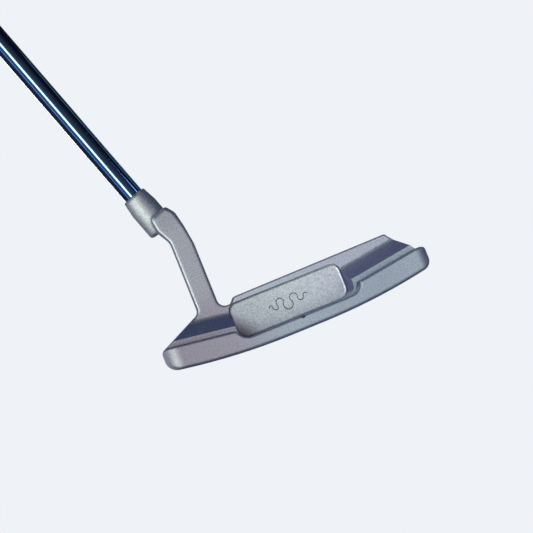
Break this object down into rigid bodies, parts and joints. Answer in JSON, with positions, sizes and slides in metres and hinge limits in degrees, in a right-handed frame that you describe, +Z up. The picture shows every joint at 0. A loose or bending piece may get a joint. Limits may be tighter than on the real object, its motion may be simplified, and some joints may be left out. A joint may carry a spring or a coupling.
{
  "type": "blade putter",
  "caption": "Heel-toe weighted blade putter with plumber's neck, stepped dark steel shaft and pistol grip, standing at address.",
  "frame": {"origin": "centre of the flat land of the sole, on the ground", "axes": "+X from heel to toe, +Y toward the target (the way the face looks), +Z up; the shaft leans toward -X"},
  "size_m": [0.3785, 0.0445, 0.8199],
  "materials": {
    "blasted_steel": "fine bead-blasted stainless steel",
    "dark_chrome": "glossy dark plated steel",
    "epoxy": "hard cured adhesive",
    "fill_paint": "matt black fill paint",
    "foam_core": "light closed-cell foam rubber",
    "grip_rubber": "moulded matt rubber",
    "grip_skin": "embossed polyurethane skin",
    "tape": "double-sided cloth tape"
  },
  "bodies": {
    "root": {"putter_head": "blasted_steel", "sight_line_paint": "fill_paint", "cavity_mark_paint": "fill_paint", "hosel_epoxy": "epoxy", "shaft": "dark_chrome", "grip_tape": "tape", "grip_core": "foam_core", "grip_skin": "grip_skin", "grip_mouth_ring": "grip_rubber", "grip_end_cap": "grip_rubber"}
  },
  "joints": []
}
